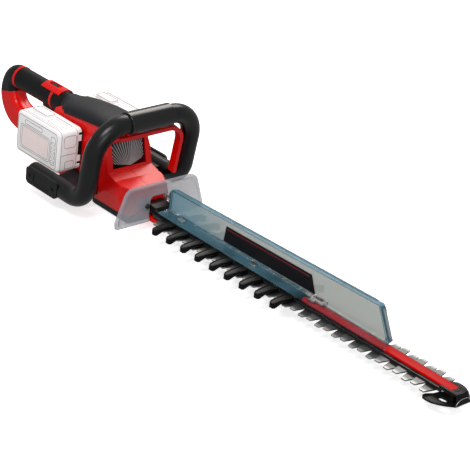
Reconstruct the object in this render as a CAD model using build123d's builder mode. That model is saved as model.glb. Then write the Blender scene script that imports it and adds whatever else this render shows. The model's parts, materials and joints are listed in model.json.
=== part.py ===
"""Cordless hedge trimmer with two side battery packs, a front loop handle and a collector sheet.

X runs forward along the blade, Y to the tool's left and Z up. The origin is where the axis of the
drive gear meets the flat underside of the base cover. All sizes are millimetres.
"""
import math
import os

from build123d import *

os.makedirs("parts", exist_ok=True)

# Blade
PITCH = 36.0
TEETH = 17
FIRST_TOOTH = 96.0
BLADE_Y = -7.0
TOOTH_REACH = 34.0
TOOTH_ROOT = 10.0
TOOTH_TIP = 4.5
BLADE_HALF = 12.0
BLADE_T = 2.4
LOWER_Z = 25.4
UPPER_Z = 28.0
BLADE_START = 64.0
BLADE_END = 706.0
STROKE = 9.0
BOLT_X = [130.0, 310.0, 490.0, 680.0]
BOLT_R = 3.0
BAR_Z = 30.6
BAR_T = 2.4
BAR_HALF = 14.0
BAR_END = 735.0
TIP_BOLT_X = 726.0
TIP_Z = 19.0
COMB_END = 408.0
COMB_FIRST = 117.0
COMB_PITCH = 34.85
COMB_FINGERS = 9
COMB_REACH = 54.5
SPINE_X = (410.0, 700.0)
SPINE_HALF = 6.0
SPINE_TOP = 37.0

# Drive
CAM_R = 15.0
CAM_ROOM = 2.2
GEAR_MODULE = 1.4
GEAR_TEETH = 48
PINION_TEETH = 24
MOTOR_X = -GEAR_MODULE * (GEAR_TEETH + PINION_TEETH) / 2
SHAFT_R = 5.0
GEAR_Z = 43.5
GEAR_T = 6.5

# Housing
WALL = 3.0
BODY_HALF = 46.0
BODY_SIDE = [(-222, 58), (-212, 32), (-180, 18), (-70, 13), (24, 13), (40, 22), (40, 52), (30, 61),
             (-4, 66), (-24, 72), (-42, 146), (-222, 124.7)]
BODY_EDGE = [(-222, BODY_HALF - 10), (-203, BODY_HALF), (6, BODY_HALF), (40, BODY_HALF - 15)]
BODY_PLAN = BODY_EDGE + [(x, -y) for x, y in reversed(BODY_EDGE)]
BODY_FLANK = [(BODY_HALF - 5, 13), (BODY_HALF, 40), (BODY_HALF, 100), (BODY_HALF - 5, 124),
              (BODY_HALF - 9, 146)]
BODY_SECTION = BODY_FLANK + [(-y, z) for y, z in reversed(BODY_FLANK)]
SHOULDER = [(-232, 80), (-205, 90), (-191, 99), (-186, 108), (-185, 118), (-181, 129.7), (-181, 145),
            (-232, 145)]
GRILLE_HALF = 35.0

# Rear handle
GRIP_Z = 121.0
CORE_R = 14.0
GRIP_R = 19.5
ARM_HALF = 17.0
ARM_CORNER = 10.0
# Stations of the rear arm and of its end cap, each an inner and an outer point in the middle plane
ARM = [((-334, 96), (-373, 85)), ((-329, 84), (-367, 64)), ((-320, 76.5), (-354, 46)),
       ((-303, 72.5), (-331, 33)), ((-268, 67), (-282, 28)), ((-196, 60), (-200, 25))]
CAP = [((-333, 101.6), (-333, 140.4)), ((-333.6, 100), (-357, 133.5)), ((-334, 98), (-370, 111)), ARM[0]]
CAP_HALF = [19.4, 19.2, 18.4, ARM_HALF]
CAP_CORNER = [19.3, 18.0, 14.0, ARM_CORNER]
GRIP_REAR = -328.0
GRIP_FRONT = -229.0
TRIGGER_PIVOT = (-238.0, 110.0)

# Front loop handle and skid bars
LOOP_TOP = (8.0, 173.0)
LOOP_FOOT = (-12.0, 38.0)
LOOP_HALF = 102.0
TUBE_R = 16.5
TUBE_WALL = 3.0
BAR_REAR = -149.0
SQUEEZE = 4.0

# Guard and collector sheet
GUARD_X = 55.0
GUARD_T = 3.0
SHEET_Z = 37.5
SHEET_T = 2.0
SHEET_X = (76.0, 590.0)
CLIP_X = [122.0, 296.0, 428.0]

# Battery packs, each outer face set in from the width of the loop handle
PACK_X = (-214.0, -97.0)
PACK_INSET = 7.0
PACK_Y = (BODY_HALF + 2, LOOP_HALF - PACK_INSET)
PACK_Z = (51.0, 125.0)
PACK_MID = ((PACK_X[0] + PACK_X[1]) / 2, (PACK_Z[0] + PACK_Z[1]) / 2)
PACK_LONG = PACK_X[1] - PACK_X[0]
PACK_TALL = PACK_Z[1] - PACK_Z[0]


def write(piece, node):
    """Label a finished piece and write its file."""
    piece.part.label = node
    export_step(piece.part, "parts/" + node + ".step")


def across(inner, outer):
    """Plane across a bent limb, through an inner and an outer point of the middle plane."""
    run, rise = outer[0] - inner[0], outer[1] - inner[1]
    middle = ((inner[0] + outer[0]) / 2, 0, (inner[1] + outer[1]) / 2)
    return Plane(origin=middle, x_dir=(run, 0, rise), z_dir=(-rise, 0, run))


def gear_points(teeth, module, turn):
    """Outline of a spur gear with plain tapered teeth, turned by an angle in degrees."""
    pitch_r = module * teeth / 2
    step = 360.0 / teeth
    points = []
    for k in range(teeth):
        for part_angle, radius in ((-0.29, -1.2), (-0.12, 0.8), (0.12, 0.8), (0.29, -1.2)):
            angle = math.radians(turn + step * (k + part_angle))
            reach = pitch_r + radius * module
            points.append((reach * math.cos(angle), reach * math.sin(angle)))
    return points


def blade_points(offset, count):
    """Outline of a cutting blade forward of its neck, with teeth on both edges."""
    near = [(BLADE_START, -BLADE_HALF)]
    for k in range(count):
        x = FIRST_TOOTH + offset + PITCH * k
        near.append((x - TOOTH_ROOT, -BLADE_HALF))
        near.append((x - TOOTH_TIP, -TOOTH_REACH))
        near.append((x + TOOTH_TIP, -TOOTH_REACH))
        near.append((x + TOOTH_ROOT, -BLADE_HALF))
    near.append((BLADE_END, -BLADE_HALF))
    outline = near + [(x, -y) for x, y in reversed(near)]
    return [(x, BLADE_Y + y) for x, y in outline]


# Housing, made whole and hollow and then split on the middle plane
with BuildPart() as cavity:
    with BuildSketch(Plane.XZ):
        Polygon(*BODY_SIDE, align=None)
        offset(amount=-WALL, kind=Kind.INTERSECTION)
    extrude(amount=BODY_HALF, both=True)
    with BuildSketch(Plane.XY):
        Polygon(*BODY_PLAN, align=None)
        offset(amount=-WALL, kind=Kind.INTERSECTION)
    extrude(amount=200, mode=Mode.INTERSECT)
    with BuildSketch(Plane.YZ):
        Polygon(*BODY_SECTION, align=None)
        offset(amount=-WALL, kind=Kind.INTERSECTION)
    extrude(amount=300, both=True, mode=Mode.INTERSECT)
    with BuildSketch(Plane.XZ):
        Polygon(*SHOULDER, align=None)
        offset(amount=WALL, kind=Kind.INTERSECTION)
    extrude(amount=BODY_HALF + 2, both=True, mode=Mode.SUBTRACT)

with BuildPart() as arm_shape:
    for inner, outer in ARM:
        with BuildSketch(across(inner, outer)):
            RectangleRounded(math.dist(inner, outer), 2 * ARM_HALF, ARM_CORNER)
    loft()

with BuildPart() as arm_hollow:
    for inner, outer in ARM[1:]:
        with BuildSketch(across(inner, outer)):
            RectangleRounded(math.dist(inner, outer) - 2 * WALL, 2 * (ARM_HALF - WALL), ARM_CORNER - WALL)
    loft()

# stub that ties the arm to the core of the grip, and the core itself
with BuildPart() as grip_core:
    with BuildSketch(Plane.XZ):
        Polygon((-362, 80), (-341, 86), (-339, 114), (-349, 116), (-354, 108), align=None)
    extrude(amount=11, both=True)
    with BuildSketch(Plane.YZ.offset(-349)):
        with Locations((0, GRIP_Z)):
            Circle(CORE_R)
    extrude(amount=145)

with BuildPart() as housing:
    with BuildSketch(Plane.XZ):
        Polygon(*BODY_SIDE, align=None)
    extrude(amount=BODY_HALF + 2, both=True)
    with BuildSketch(Plane.XY):
        Polygon(*BODY_PLAN, align=None)
    extrude(amount=200, mode=Mode.INTERSECT)
    with BuildSketch(Plane.YZ):
        Polygon(*BODY_SECTION, align=None)
    extrude(amount=300, both=True, mode=Mode.INTERSECT)
    with BuildSketch(Plane.XZ):
        Polygon(*SHOULDER, align=None)
    extrude(amount=BODY_HALF + 2, both=True, mode=Mode.SUBTRACT)
    add(arm_shape.part)
    add(grip_core.part)
    # lower lip that runs out under the blade
    with BuildSketch(Plane.XZ):
        Polygon((30, 17), (66, 15.5), (76, 18), (78, 22.5), (30, 22.5), align=None)
    extrude(amount=19.5, both=True)
    with BuildSketch(Plane.YZ.offset(-224)):
        with Locations((0, GRIP_Z)):
            Circle(GRIP_R)
    extrude(amount=30)
    # underside of the neck where it runs in below the spine cover
    with BuildSketch(Plane.YZ.offset(-195)):
        with Locations((0, GRIP_Z)):
            Circle(GRIP_R)
        with Locations((0, 112)):
            Rectangle(60, 30, mode=Mode.INTERSECT)
    extrude(amount=14)
    # hollows of the body, the arm and the grip core
    add(cavity.part, mode=Mode.SUBTRACT)
    add(arm_hollow.part, mode=Mode.SUBTRACT)
    with BuildSketch(Plane.YZ.offset(-346)):
        with Locations((0, GRIP_Z)):
            Circle(CORE_R - WALL)
    extrude(amount=135, mode=Mode.SUBTRACT)
    # trigger slot, lock slider pocket, trigger pin holes
    with BuildSketch(Plane.XZ):
        with Locations((TRIGGER_PIVOT[0] - 9, 100)):
            Rectangle(36, 32)
    extrude(amount=7, both=True, mode=Mode.SUBTRACT)
    with BuildSketch(Plane.XZ):
        with Locations((-229, 142)):
            Rectangle(66, 17)
    extrude(amount=9, both=True, mode=Mode.SUBTRACT)
    with BuildSketch(Plane.XZ):
        with Locations(TRIGGER_PIVOT):
            Circle(2.0)
    extrude(amount=12, both=True, mode=Mode.SUBTRACT)
    # blade mouth in the nose and air opening in the sloped face
    with BuildSketch(Plane.YZ.offset(30)):
        with Locations((0, 31.5)):
            Rectangle(46, 15)
    extrude(amount=20, mode=Mode.SUBTRACT)
    with BuildSketch(Plane.XZ):
        Polygon((-14, 76), (-24, 119), (-48, 119), (-38, 76), align=None)
    extrude(amount=GRILLE_HALF, both=True, mode=Mode.SUBTRACT)

with BuildPart() as housing_left:
    add(housing.part)
    split(bisect_by=Plane.XZ, keep=Keep.BOTTOM)
write(housing_left, "housing_left")

with BuildPart() as housing_right:
    add(housing.part)
    split(bisect_by=Plane.XZ, keep=Keep.TOP)
write(housing_right, "housing_right")

# Spine cover on the sloped top of the housing: station, half width, lower and upper height
COVER = [(-192, 19, 128.4, 141), (-120, 29, 136.9, 151), (-54, 36, 144.7, 158.5), (-42, 37, 146.1, 155)]
with BuildPart() as spine_cover:
    for x, half, low, high in COVER:
        with BuildSketch(Plane.YZ.offset(x)):
            Polygon((-half, low), (-half, low + 3), (-half + 3, high - 3), (-half + 9, high),
                    (half - 9, high), (half - 3, high - 3), (half, low + 3), (half, low), align=None)
    loft(ruled=True)
    with BuildSketch(Plane.XZ):
        Polygon((-188, 128.7), (-188, 136.5), (-120, 146.5), (-56, 155), (-45, 152), (-45, 145.6),
                align=None)
    extrude(amount=10, both=True, mode=Mode.SUBTRACT)
write(spine_cover, "spine_cover")

# Air grille set into the sloped face
grille_plane = Plane(origin=(-30.2, 0, 97.5), x_dir=(0, 1, 0), z_dir=(74, 0, 18))
with BuildPart() as air_grille:
    with BuildSketch(grille_plane.offset(-4.5)):
        Rectangle(2 * GRILLE_HALF - 0.4, 41)
    extrude(amount=3.5)
    with BuildSketch(grille_plane):
        with Locations((0, 0)):
            with GridLocations(3.6, 19.5, 17, 2):
                SlotCenterToCenter(15, 1.7, rotation=90)
    extrude(amount=-8, mode=Mode.SUBTRACT)
write(air_grille, "air_grille")

# Base cover, flat underneath
with BuildPart() as base_cover:
    with BuildSketch(Plane.XY):
        with Locations((-21, 0)):
            RectangleRounded(102, 80, 10)
    extrude(amount=13)
    chamfer(base_cover.faces().sort_by(Axis.Z)[0].edges(), 3)
    with BuildSketch(Plane.XY.offset(4)):
        with Locations((-21, 0)):
            RectangleRounded(94, 72, 7)
    extrude(amount=9, mode=Mode.SUBTRACT)
write(base_cover, "base_cover")

# Rear grip: sleeve, two rings and the end cap round the red core
with BuildPart() as rear_grip:
    with BuildSketch(Plane.YZ.offset(GRIP_REAR)):
        with Locations((0, GRIP_Z)):
            Circle(GRIP_R)
            Circle(CORE_R, mode=Mode.SUBTRACT)
    extrude(amount=GRIP_FRONT - GRIP_REAR)
    with BuildSketch(Plane.XZ):
        with Locations((TRIGGER_PIVOT[0] - 9, 100)):
            Rectangle(36, 32)
    extrude(amount=7, both=True, mode=Mode.SUBTRACT)
    with BuildSketch(Plane.XZ):
        with Locations((-229, 142)):
            Rectangle(66, 17)
    extrude(amount=9, both=True, mode=Mode.SUBTRACT)
    with BuildSketch(Plane.XZ):
        with Locations(TRIGGER_PIVOT):
            Circle(2.0)
    extrude(amount=12, both=True, mode=Mode.SUBTRACT)
write(rear_grip, "rear_grip")

with BuildPart() as grip_ring_front:
    with BuildSketch(Plane.YZ.offset(GRIP_FRONT)):
        with Locations((0, GRIP_Z)):
            Circle(GRIP_R + 0.8)
            Circle(CORE_R, mode=Mode.SUBTRACT)
    extrude(amount=5)
    with BuildSketch(Plane.XZ):
        with Locations((TRIGGER_PIVOT[0] - 9, 100)):
            Rectangle(36, 32)
    extrude(amount=7, both=True, mode=Mode.SUBTRACT)
    with BuildSketch(Plane.XZ):
        with Locations((-229, 142)):
            Rectangle(66, 17)
    extrude(amount=9, both=True, mode=Mode.SUBTRACT)
    # a ring half is kept on each side, tied by the right half of the neck
    split(bisect_by=Plane.XZ, keep=Keep.TOP)
write(grip_ring_front, "grip_ring_front_right")

with BuildPart() as grip_ring_front_left:
    add(grip_ring_front.part)
    mirror(about=Plane.XZ, mode=Mode.REPLACE)
write(grip_ring_front_left, "grip_ring_front_left")

with BuildPart() as grip_ring_rear:
    with BuildSketch(Plane.YZ.offset(GRIP_REAR - 5)):
        with Locations((0, GRIP_Z)):
            Circle(GRIP_R + 0.8)
            Circle(CORE_R, mode=Mode.SUBTRACT)
    extrude(amount=5)
write(grip_ring_rear, "grip_ring_rear")

with BuildPart() as rear_end_cap:
    for (inner, outer), half, corner in zip(CAP, CAP_HALF, CAP_CORNER):
        with BuildSketch(across(inner, outer)):
            RectangleRounded(math.dist(inner, outer), 2 * half, corner)
    loft()
    add(grip_core.part, mode=Mode.SUBTRACT)
write(rear_end_cap, "rear_end_cap")

# Controls on the rear handle
with BuildPart() as lock_slider:
    with BuildSketch(Plane.XZ):
        Polygon((-257, 134), (-257, 142.4), (-207, 142.4), (-207, 134), align=None)
    extrude(amount=8.4, both=True)
    with BuildSketch(Plane.YZ.offset(-257)):
        with Locations((0, GRIP_Z)):
            Circle(GRIP_R + 3)
            Circle(GRIP_R + 1.3, mode=Mode.SUBTRACT)
        with Locations((0, GRIP_Z + 22)):
            Rectangle(30, 20, mode=Mode.INTERSECT)
    extrude(amount=50)
    with BuildSketch(Plane.XY.offset(140)):
        with Locations((-235, 0)):
            RectangleRounded(28, 11, 3)
    extrude(amount=10, mode=Mode.SUBTRACT)
write(lock_slider, "lock_slider")

with BuildPart() as trigger:
    with BuildSketch(Plane.XZ):
        Polygon((-262, 106), (-259, 96), (-251, 90), (-242, 89), (-234.5, 94), (-233, 108), (-236, 114),
                (-242, 114), (-260, 111), align=None)
    extrude(amount=6.2, both=True)
    fillet(trigger.edges().filter_by(Axis.Y), 1.5)
    with BuildSketch(Plane.XZ):
        with Locations(TRIGGER_PIVOT):
            Circle(2.06)
    extrude(amount=12, both=True, mode=Mode.SUBTRACT)
write(trigger, "trigger")

with BuildPart() as trigger_pin:
    with BuildSketch(Plane.XZ):
        with Locations(TRIGGER_PIVOT):
            Circle(2.0)
    extrude(amount=8.4, both=True)
write(trigger_pin, "trigger_pin")

with BuildPart() as trigger_switch:
    with BuildSketch(Plane.XZ):
        with Locations((-244, 123.5)):
            Rectangle(34, 9)
    extrude(amount=8.4, both=True)
write(trigger_switch, "trigger_switch")

# Front loop handle: one swept tube with its rear-running skid bars, split in the plane of the loop
LOOP_POINTS = [(BAR_REAR, -LOOP_HALF, LOOP_FOOT[1]), (LOOP_FOOT[0], -LOOP_HALF, LOOP_FOOT[1]),
               (LOOP_TOP[0], -LOOP_HALF, LOOP_TOP[1]), (LOOP_TOP[0], LOOP_HALF, LOOP_TOP[1]),
               (LOOP_FOOT[0], LOOP_HALF, LOOP_FOOT[1]), (BAR_REAR, LOOP_HALF, LOOP_FOOT[1])]
LOOP_RADII = [38.0, 52.0, 52.0, 38.0]
lean = (LOOP_TOP[0] - LOOP_FOOT[0], LOOP_TOP[1] - LOOP_FOOT[1])
loop_plane = Plane(origin=(LOOP_TOP[0], 0, LOOP_TOP[1]), x_dir=(0, 1, 0), z_dir=(lean[1], 0, -lean[0]))
inner_points = list(LOOP_POINTS)
inner_points[0] = (BAR_REAR + 3, -LOOP_HALF, LOOP_FOOT[1])
inner_points[-1] = (BAR_REAR + 3, LOOP_HALF, LOOP_FOOT[1])

with BuildPart() as loop_hollow:
    with BuildLine():
        inner_path = FilletPolyline(*inner_points, radius=LOOP_RADII)
    with BuildSketch(Plane(inner_path @ 0, z_dir=inner_path % 0)):
        Circle(TUBE_R - TUBE_WALL)
    sweep(path=inner_path)

with BuildPart() as loop_solid:
    with BuildLine():
        outer_path = FilletPolyline(*LOOP_POINTS, radius=LOOP_RADII)
    with BuildSketch(Plane(outer_path @ 0, z_dir=outer_path % 0)):
        Circle(TUBE_R)
    sweep(path=outer_path)

# pin holes for the switch bar, square to the top bar in the plane of the loop
BAR_PINS = (-36.0, 36.0)
pin_plane = Plane(origin=(LOOP_TOP[0], 0, LOOP_TOP[1]), x_dir=(0, 1, 0), z_dir=(-lean[0], 0, -lean[1]))
with BuildPart() as loop_tube:
    add(loop_solid.part)
    add(loop_hollow.part, mode=Mode.SUBTRACT)
    with BuildSketch(pin_plane):
        with Locations((-36, 0), (36, 0)):
            Circle(4.3)
    extrude(amount=40, mode=Mode.SUBTRACT)
    # flats for the end plates on the outer side of the skid bars
    with BuildSketch(Plane.XY):
        with Locations((-107, LOOP_HALF + TUBE_R + 4), (-107, -LOOP_HALF - TUBE_R - 4)):
            Rectangle(88, 16)
    extrude(amount=90, mode=Mode.SUBTRACT)

with BuildPart() as handle_front_shell:
    add(loop_tube.part)
    split(bisect_by=loop_plane, keep=Keep.TOP)
write(handle_front_shell, "handle_front_shell")

with BuildPart() as handle_rear_shell:
    add(loop_tube.part)
    split(bisect_by=loop_plane, keep=Keep.BOTTOM)
write(handle_rear_shell, "handle_rear_shell")

with BuildPart() as front_grip:
    with BuildSketch(Plane.XZ):
        with Locations(LOOP_TOP):
            Circle(TUBE_R + 2.8)
            Circle(TUBE_R, mode=Mode.SUBTRACT)
    extrude(amount=45, both=True)
    with BuildSketch(pin_plane):
        Rectangle(100, 24)
    extrude(amount=40, mode=Mode.SUBTRACT)
    fillet(front_grip.edges().filter_by(GeomType.CIRCLE).sort_by(SortBy.RADIUS)[-2:], 1.2)
write(front_grip, "front_grip")

# Switch bar along the inside of the loop, on two pins that slide into the top bar
bar_gap = TUBE_R + SQUEEZE + 1.5
bar_plane = Plane(origin=(LOOP_TOP[0], 0, LOOP_TOP[1]), x_dir=(0, 1, 0), z_dir=(lean[1], 0, -lean[0]))
INSIDE = LOOP_HALF - TUBE_R - 2.0
with BuildPart() as switch_bar:
    with BuildSketch(bar_plane.offset(-7)):
        with BuildLine():
            FilletPolyline((-56, -bar_gap - 3), (-56, -bar_gap), (INSIDE, -bar_gap), (INSIDE, -118),
                           (INSIDE - 7, -118), (INSIDE - 7, -bar_gap - 7), (-56, -bar_gap - 7),
                           (-56, -bar_gap - 4),
                           radius=[2.5, 34, 2, 2, 28, 2.5])
            Line((-56, -bar_gap - 4), (-56, -bar_gap - 3))
        make_face()
    extrude(amount=14)
    with BuildSketch(pin_plane.offset(bar_gap + 1)):
        with Locations((-36, 0), (36, 0)):
            Circle(4.0)
    extrude(amount=-(bar_gap + 1 - 12))
write(switch_bar, "switch_bar")

# Arms that carry the skid bars on the housing
with BuildPart() as handle_arm_right:
    with BuildSketch(Plane.XY.offset(LOOP_FOOT[1] - 12)):
        Polygon((-112, -BODY_HALF), (-46, -BODY_HALF), (-52, 4 - LOOP_HALF), (-100, 4 - LOOP_HALF),
                align=None)
    extrude(amount=21)
    with BuildSketch(Plane.YZ.offset(-160)):
        with Locations((-LOOP_HALF, LOOP_FOOT[1])):
            Circle(TUBE_R)
    extrude(amount=130, mode=Mode.SUBTRACT)
write(handle_arm_right, "handle_arm_right")

with BuildPart() as handle_arm_left:
    add(handle_arm_right.part)
    mirror(about=Plane.XZ, mode=Mode.REPLACE)
write(handle_arm_left, "handle_arm_left")

# End plates with two screw holes each
with BuildPart() as end_plate_right:
    with BuildSketch(Plane.XZ.offset(LOOP_HALF + TUBE_R - 4)):
        with Locations((-107, LOOP_FOOT[1])):
            RectangleRounded(84, 30, 8)
    extrude(amount=4)
    with BuildSketch(Plane.XZ.offset(LOOP_HALF + TUBE_R - 4)):
        with Locations((-138, LOOP_FOOT[1]), (-76, LOOP_FOOT[1])):
            Circle(3.2)
    extrude(amount=4, mode=Mode.SUBTRACT)
    with BuildSketch(Plane.XZ.offset(LOOP_HALF + TUBE_R - 1)):
        with Locations((-107, LOOP_FOOT[1])):
            RectangleRounded(44, 20, 4)
    extrude(amount=1, mode=Mode.SUBTRACT)
write(end_plate_right, "end_plate_right")

with BuildPart() as end_plate_left:
    add(end_plate_right.part)
    mirror(about=Plane.XZ, mode=Mode.REPLACE)
write(end_plate_left, "end_plate_left")

# Hand guard with rim, arch and two bosses
GUARD_EDGE = [(62, 82), (68, 80.4), (73, 76.4), (76, 71), (92, 27), (90, 16)]
GUARD_OUTLINE = GUARD_EDGE + [(-y, z) for y, z in reversed(GUARD_EDGE)]
with BuildPart() as hand_guard:
    with BuildSketch(Plane.YZ.offset(GUARD_X)):
        Polygon(*GUARD_OUTLINE, align=None)
    extrude(amount=GUARD_T)
    with BuildSketch(Plane.YZ.offset(GUARD_X)):
        Polygon(*GUARD_OUTLINE, align=None)
        offset(amount=-5, kind=Kind.INTERSECTION, mode=Mode.SUBTRACT)
    extrude(amount=GUARD_T + 3)
    with BuildSketch(Plane.YZ.offset(GUARD_X)):
        with Locations((0, 36)):
            RectangleRounded(42, 46, 8)
        with Locations((0, 20)):
            Rectangle(42, 30)
    extrude(amount=GUARD_T + 4, mode=Mode.SUBTRACT)
    with BuildSketch(Plane.YZ.offset(40)):
        with Locations((27.5, 44), (-27.5, 44)):
            Circle(6)
    extrude(amount=GUARD_X - 40)
    with BuildSketch(Plane.YZ.offset(40)):
        with Locations((27.5, 44), (-27.5, 44)):
            Circle(2.1)
    extrude(amount=30, mode=Mode.SUBTRACT)
write(hand_guard, "hand_guard")

with BuildPart() as guard_screw_left:
    with BuildSketch(Plane.YZ.offset(40)):
        with Locations((27.5, 44)):
            Circle(2.0)
    extrude(amount=GUARD_X + GUARD_T - 40)
    with BuildSketch(Plane.YZ.offset(GUARD_X + GUARD_T)):
        with Locations((27.5, 44)):
            Circle(4.5)
    extrude(amount=2.5)
write(guard_screw_left, "guard_screw_left")

with BuildPart() as guard_screw_right:
    add(guard_screw_left.part)
    mirror(about=Plane.XZ, mode=Mode.REPLACE)
write(guard_screw_right, "guard_screw_right")

# Blades: driven tails with cross slots for the cams, necks, and toothed fronts
SLOT_R = CAM_R + CAM_ROOM
with BuildPart() as upper_blade:
    with BuildSketch(Plane.XY.offset(UPPER_Z)):
        Polygon(*blade_points(0, TEETH), align=None)
        with Locations((40, 0)):
            Rectangle(60, 24)
        RectangleRounded(50, 62, 8)
        RectangleRounded(2 * SLOT_R, 52, 8, mode=Mode.SUBTRACT)
        with Locations(*[(x, BLADE_Y) for x in BOLT_X]):
            SlotCenterToCenter(2 * STROKE + 1, 2 * BOLT_R + 0.8, mode=Mode.SUBTRACT)
        with Locations(*[(x, BLADE_Y) for x in (220, 400, 585)]):
            SlotCenterToCenter(100, 10, mode=Mode.SUBTRACT)
    extrude(amount=BLADE_T)
write(upper_blade, "upper_blade")

with BuildPart() as lower_blade:
    with BuildSketch(Plane.XY.offset(LOWER_Z)):
        Polygon(*blade_points(PITCH / 2, TEETH), align=None)
        with Locations((40, 0)):
            Rectangle(60, 24)
        RectangleRounded(50, 62, 8)
        RectangleRounded(2 * SLOT_R, 52, 8, mode=Mode.SUBTRACT)
        with Locations(*[(x, BLADE_Y) for x in BOLT_X]):
            SlotCenterToCenter(2 * STROKE + 1, 2 * BOLT_R + 0.8, mode=Mode.SUBTRACT)
        with Locations(*[(x, BLADE_Y) for x in (220, 400, 585)]):
            SlotCenterToCenter(100, 10, mode=Mode.SUBTRACT)
    extrude(amount=BLADE_T)
write(lower_blade, "lower_blade")

# Guide bar over the blades
with BuildPart() as guide_bar:
    with BuildSketch(Plane.XY.offset(BAR_Z)):
        Polygon((40, -12), (62, -12), (70, BLADE_Y - BAR_HALF), (705, BLADE_Y - BAR_HALF),
                (BAR_END, BLADE_Y - 9), (BAR_END, BLADE_Y + 9), (705, BLADE_Y + BAR_HALF),
                (70, BLADE_Y + BAR_HALF), (62, 12), (40, 12), align=None)
        with Locations(*[(x, BLADE_Y) for x in BOLT_X + [TIP_BOLT_X]]):
            Circle(BOLT_R, mode=Mode.SUBTRACT)
        for y in (BLADE_Y - 10, BLADE_Y + 10):
            with Locations(*[(FIRST_TOOTH + 18 + PITCH * k, y) for k in range(9, 16)]):
                SlotCenterToCenter(14, 4, mode=Mode.SUBTRACT)
    extrude(amount=BAR_T)
write(guide_bar, "guide_bar")

# Bolts that hold the blades up to the guide bar
for index, x in enumerate(BOLT_X):
    with BuildPart() as blade_bolt:
        with BuildSketch(Plane.XY.offset(LOWER_Z - 0.2)):
            with Locations((x, BLADE_Y)):
                Circle(BOLT_R)
        extrude(amount=BAR_Z + BAR_T - LOWER_Z + 0.2)
        with BuildSketch(Plane.XY.offset(LOWER_Z - 4.2)):
            with Locations((x, BLADE_Y)):
                RegularPolygon(6.5, 6)
        extrude(amount=4)
    write(blade_bolt, "blade_bolt_" + str(index + 1))

# Comb guard over the rear half: a rail with blunt fingers on both sides
def finger_points(k, side, root, width):
    """Outline of one comb finger: its number, its side, where it starts and its half width there."""
    x = COMB_FIRST + COMB_PITCH * k
    half = [(x - width, root), (x - width + 2.5, COMB_REACH - 4), (x - 3, COMB_REACH), (x + 3, COMB_REACH),
            (x + width - 2.5, COMB_REACH - 4), (x + width, root)]
    return [(px, BLADE_Y + side * py) for px, py in half]


with BuildPart() as comb_guard:
    with BuildSketch(Plane.XY.offset(BAR_Z + BAR_T)):
        with Locations(((71 + COMB_END) / 2, BLADE_Y)):
            Rectangle(COMB_END - 71, 2 * BAR_HALF - 2)
        for side in (-1, 1):
            for k in range(COMB_FINGERS):
                Polygon(*finger_points(k, side, BAR_HALF - 4, 8.0), align=None)
    extrude(amount=3)
    with BuildSketch(Plane.XY.offset(BAR_Z + 0.4)):
        for side in (-1, 1):
            for k in range(COMB_FINGERS):
                Polygon(*finger_points(k, side, BAR_HALF + 1, 7.0), align=None)
    extrude(amount=BAR_T - 0.4)
    # the blunt ends hang down beside the teeth
    with BuildSketch(Plane.XY.offset(LOWER_Z)):
        for side in (-1, 1):
            for k in range(COMB_FINGERS):
                Polygon(*finger_points(k, side, TOOTH_REACH + 3, 6.5), align=None)
    extrude(amount=BAR_Z + 0.4 - LOWER_Z)
    with BuildSketch(Plane.XY.offset(BAR_Z + BAR_T + 3)):
        with Locations(((92 + COMB_END) / 2, BLADE_Y)):
            Rectangle(COMB_END - 92, 22)
    extrude(amount=SHEET_Z - BAR_Z - BAR_T - 3)
write(comb_guard, "comb_guard")

# Spine bar over the front half, with a rounded rear end
with BuildPart() as spine_bar:
    with BuildSketch(Plane.XY.offset(BAR_Z + BAR_T)):
        with Locations(((SPINE_X[0] + SPINE_X[1]) / 2 + 3, BLADE_Y)):
            Rectangle(SPINE_X[1] - SPINE_X[0] - 6, 2 * SPINE_HALF)
        with Locations((SPINE_X[0] + SPINE_HALF, BLADE_Y)):
            Circle(SPINE_HALF)
    extrude(amount=SPINE_TOP - BAR_Z - BAR_T)
    fillet(spine_bar.faces().sort_by(Axis.Z)[-1].edges(), 1.2)
write(spine_bar, "spine_bar")

# Tip guard: lobed plate under the blades, front nose and a tab over the bar
with BuildPart() as tip_guard:
    with BuildSketch(Plane.XY.offset(TIP_Z)):
        Polygon((697, -16), (688, -30), (690, -44), (699, -47), (714, -43), (734, -31), (742, -20), (742, 6),
                (734, 17), (714, 29), (699, 33), (690, 30), (688, 16), (697, 2), align=None)
        with Locations((713, -29), (713, 15)):
            SlotCenterToCenter(8, 7, rotation=0, mode=Mode.SUBTRACT)
    extrude(amount=3)
    with BuildSketch(Plane.XZ.offset(-BLADE_Y)):
        Polygon((729, 19), (738, 19), (742, 23.5), (742, 34), (738, 38.5), (701, 38.5), (701, 33),
                (735.5, 33), (737, 31.5), (737, 24), (735, 22), (729, 22), align=None)
    extrude(amount=13, both=True)
    with BuildSketch(Plane.XY.offset(BAR_Z + BAR_T)):
        with Locations((TIP_BOLT_X, BLADE_Y)):
            Circle(BOLT_R)
    extrude(amount=5.5, mode=Mode.SUBTRACT)
    with BuildSketch(Plane.XY.offset(TIP_Z)):
        with Locations((TIP_BOLT_X, BLADE_Y)):
            Circle(BOLT_R)
    extrude(amount=3, mode=Mode.SUBTRACT)
write(tip_guard, "tip_guard")

with BuildPart() as tip_bolt:
    with BuildSketch(Plane.XY.offset(TIP_Z)):
        with Locations((TIP_BOLT_X, BLADE_Y)):
            Circle(BOLT_R)
    extrude(amount=BAR_Z + BAR_T + 5.5 - TIP_Z)
    with BuildSketch(Plane.XY.offset(BAR_Z + BAR_T + 5.5)):
        with Locations((TIP_BOLT_X, BLADE_Y)):
            Circle(5)
    extrude(amount=2.5)
    with BuildSketch(Plane.XY.offset(TIP_Z + 3)):
        with Locations((TIP_BOLT_X, BLADE_Y)):
            Circle(4.5)
    extrude(amount=BAR_Z - TIP_Z - 3)
write(tip_bolt, "tip_bolt")

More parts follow.
